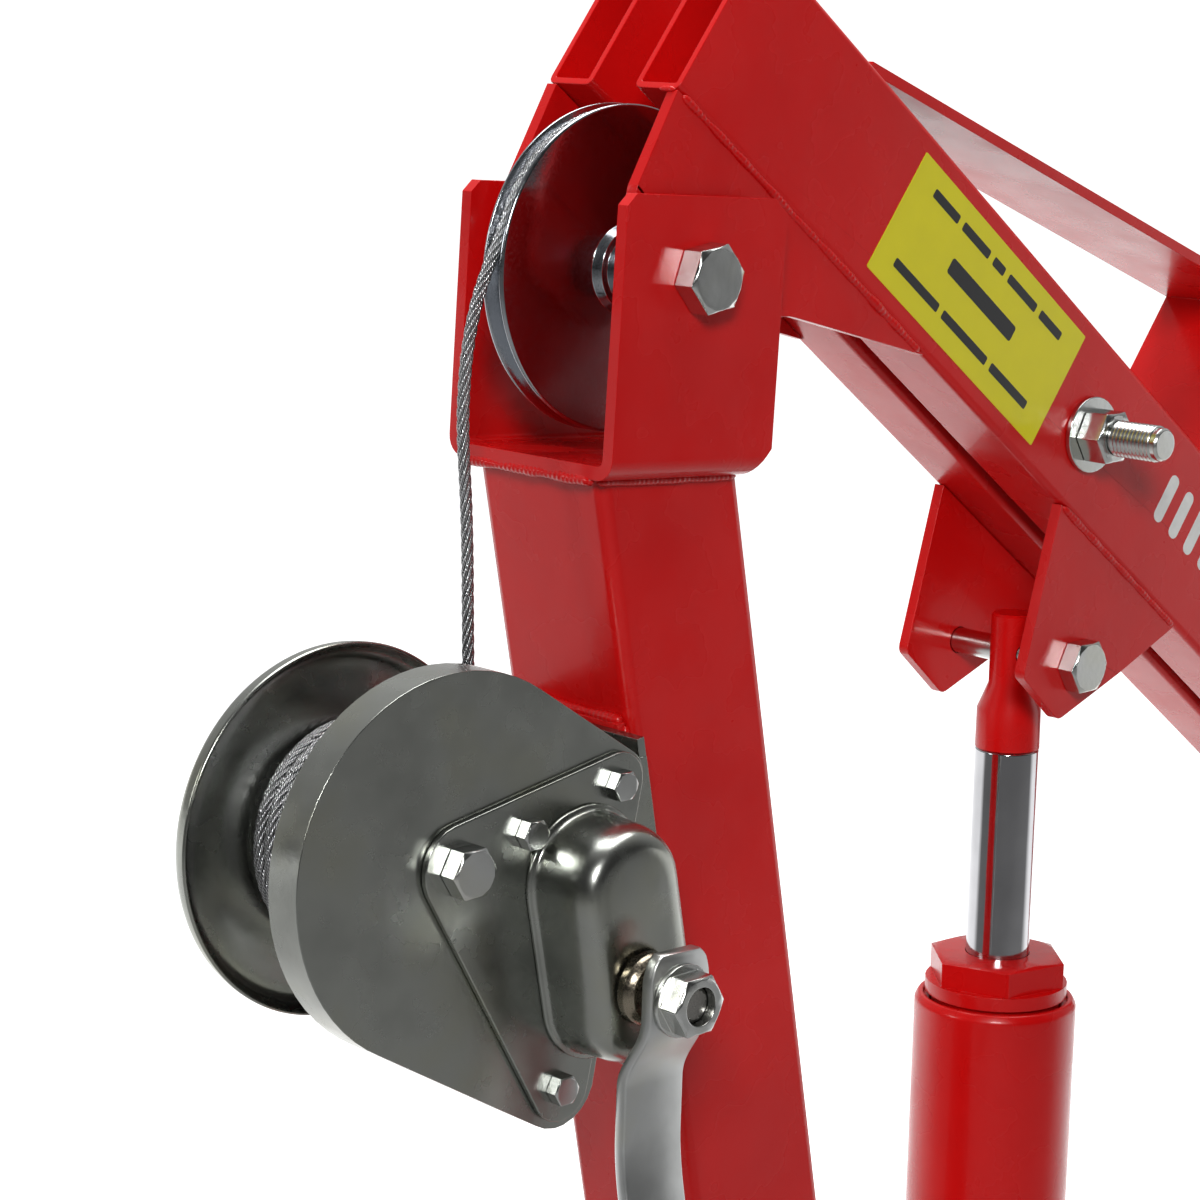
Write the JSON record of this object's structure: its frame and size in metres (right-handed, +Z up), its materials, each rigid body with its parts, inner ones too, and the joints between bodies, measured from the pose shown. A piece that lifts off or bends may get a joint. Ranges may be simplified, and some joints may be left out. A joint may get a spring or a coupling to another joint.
{
  "type": "engine hoist crane",
  "caption": "Pickup-bed hoist crane: swivel base, leaning mast, twin-tube boom raised by a hydraulic ram, hand brake winch, wire rope over a head sheave, safety hook.",
  "frame": {"origin": "centre of the base plate's underside", "axes": "+X forward along the boom, +Y left, +Z up"},
  "size_m": [1.0095, 0.383, 1.3199],
  "materials": {
    "red_paint": "gloss paint",
    "zinc_plate": "zinc plated, satin",
    "bright_steel": "polished",
    "bare_steel": "oiled steel",
    "wire_rope": "galvanised strands",
    "black_grip": "matt"
  },
  "bodies": {
    "base": {"base_plate": "red_paint", "base_spigot": "red_paint"},
    "mast": {"swivel_sleeve": "red_paint", "mast_tube": "red_paint", "yoke": "red_paint", "ram_foot_bracket": "red_paint", "ram_foot_pin": "zinc_plate", "winch_mount_plate": "red_paint", "winch_frame": "zinc_plate", "gear_cover": "zinc_plate", "winch_side_plate": "zinc_plate", "brake_housing": "zinc_plate", "brake_bush": "bare_steel", "ratchet_wheel": "bare_steel", "drum_axle_bolt": "zinc_plate", "drum_axle_nut": "zinc_plate", "winch_bolt_1": "zinc_plate", "winch_bolt_2": "zinc_plate", "winch_bolt_3": "zinc_plate", "pivot_bolt": "zinc_plate", "pivot_nut": "zinc_plate", "rope_riser": "wire_rope"},
    "swivel_lock": {"swivel_lock_screw": "zinc_plate"},
    "head_sheave": {"head_sheave": "bright_steel"},
    "boom": {"boom_tube_left": "red_paint", "boom_tube_right": "red_paint", "boom_cheek_left": "red_paint", "boom_cheek_right": "red_paint", "ram_ear_left": "red_paint", "ram_ear_right": "red_paint", "ram_top_bolt": "zinc_plate", "ram_top_nut": "zinc_plate", "truss_brace": "red_paint", "boom_cross_bolt": "zinc_plate", "cross_bolt_washer": "zinc_plate", "cross_bolt_nut": "zinc_plate", "tip_bracket": "red_paint", "tip_axle": "zinc_plate", "rope_boom_run": "wire_rope"},
    "tip_sheave": {"tip_sheave": "bright_steel"},
    "rope_hang": {"rope_tip_arc": "wire_rope", "rope_drop": "wire_rope"},
    "hook_block": {"hook_swivel": "zinc_plate"},
    "hook": {"hook": "red_paint"},
    "hook_latch": {"hook_latch": "zinc_plate"},
    "drum": {"winch_drum": "zinc_plate", "main_gear": "bare_steel", "rope_coil": "wire_rope"},
    "crank": {"crank_shaft": "bare_steel", "crank_arm": "zinc_plate", "crank_nut": "zinc_plate"},
    "crank_grip": {"crank_grip": "black_grip"},
    "brake_pawl": {"brake_pawl": "bare_steel"},
    "ram_rod": {"ram_rod": "bright_steel", "ram_rod_end": "red_paint"},
    "ram_cylinder": {"ram_cylinder": "red_paint", "gland_nut": "red_paint", "ram_pump_base": "red_paint"},
    "pump_lever": {"pump_lever_socket": "red_paint"},
    "release_valve": {"release_valve": "zinc_plate"}
  },
  "joints": [
    {"name": "mast_swivel", "type": "hinge", "parent": "base", "child": "mast", "pos_m": [0, 0, 0.1], "axis": [0, 0, 1], "continuous": true},
    {"name": "swivel_lock_turn", "type": "hinge", "parent": "mast", "child": "swivel_lock", "pos_m": [-0.06, 0, 0.1123], "axis": [-1, 0, 0], "range_deg": [0, 720]},
    {"name": "boom_lift", "type": "hinge", "parent": "mast", "child": "boom", "pos_m": [-0.137, 0, 1.18], "axis": [0, -1, 0], "range_deg": [-5, 42], "deforming": ["rope_riser"]},
    {"name": "ram_tilt", "type": "hinge", "parent": "boom", "child": "ram_rod", "pos_m": [0.13392, 0, 0.96961], "axis": [0, -1, 0], "range_deg": [-50, 8]},
    {"name": "ram_stroke", "type": "slide", "parent": "ram_rod", "child": "ram_cylinder", "axis": [-0.0304, 0, -0.9995], "range_m": [-0.032, 0.25]},
    {"name": "head_sheave_spin", "type": "hinge", "parent": "mast", "child": "head_sheave", "pos_m": [-0.137, 0, 1.18], "axis": [0, 1, 0], "range_deg": [-300, 0]},
    {"name": "drum_spin", "type": "hinge", "parent": "mast", "child": "drum", "pos_m": [-0.27504, 0, 0.95307], "axis": [0, -1, 0], "range_deg": [-360, 0]},
    {"name": "crank_spin", "type": "hinge", "parent": "mast", "child": "crank", "pos_m": [-0.20769, 0, 0.89698], "axis": [0, -1, 0], "range_deg": [-10, 1450]},
    {"name": "grip_spin", "type": "hinge", "parent": "crank", "child": "crank_grip", "pos_m": [-0.21707, -0.15, 0.68219], "axis": [0, -1, 0], "continuous": true},
    {"name": "brake_pawl_lift", "type": "hinge", "parent": "mast", "child": "brake_pawl", "pos_m": [-0.20934, -0.0685, 0.93726], "axis": [0, 1, 0], "range_deg": [0, 12], "stiffness_Nm_per_rad": 0.05, "springref_deg": -11.46},
    {"name": "tip_sheave_spin", "type": "hinge", "parent": "boom", "child": "tip_sheave", "pos_m": [0.56598, 0, 0.66299], "axis": [0, 1, 0], "range_deg": [-590, 0]},
    {"name": "rope_level", "type": "hinge", "parent": "boom", "child": "rope_hang", "pos_m": [0.56598, 0, 0.66299], "axis": [0, -1, 0], "range_deg": [-43, 6]},
    {"name": "hook_hoist", "type": "slide", "parent": "rope_hang", "child": "hook_block", "axis": [0, 0, -1], "range_m": [-0.34, 0], "deforming": ["rope_drop"]},
    {"name": "hook_turn", "type": "hinge", "parent": "hook_block", "child": "hook", "pos_m": [0.59898, 0, 0.17839], "axis": [0, 0, 1], "continuous": true},
    {"name": "hook_latch_open", "type": "hinge", "parent": "hook", "child": "hook_latch", "pos_m": [0.58798, 0, 0.16089], "axis": [0, -1, 0], "range_deg": [0, 25], "stiffness_Nm_per_rad": 0.06, "springref_deg": -17.19},
    {"name": "pump_lever_lift", "type": "hinge", "parent": "ram_cylinder", "child": "pump_lever", "pos_m": [0.17529, 0, 0.4211], "axis": [0, -1, 0], "range_deg": [0, 25]},
    {"name": "release_valve_turn", "type": "hinge", "parent": "ram_cylinder", "child": "release_valve", "pos_m": [0.13433, -0.05, 0.3243], "axis": [0, -1, 0], "range_deg": [0, 180]}
  ],
  "couplings": [
    {"joint": "ram_tilt", "follows": "boom_lift", "ratio": -1.122},
    {"joint": "ram_stroke", "follows": "boom_lift", "m_per_rad": 0.322},
    {"joint": "rope_level", "follows": "boom_lift", "ratio": -1},
    {"joint": "crank_spin", "follows": "drum_spin", "ratio": -4},
    {"joint": "head_sheave_spin", "follows": "drum_spin", "ratio": 0.8114},
    {"joint": "tip_sheave_spin", "follows": "drum_spin", "ratio": 1.6227},
    {"joint": "hook_hoist", "follows": "drum_spin", "m_per_rad": 0.05355}
  ]
}
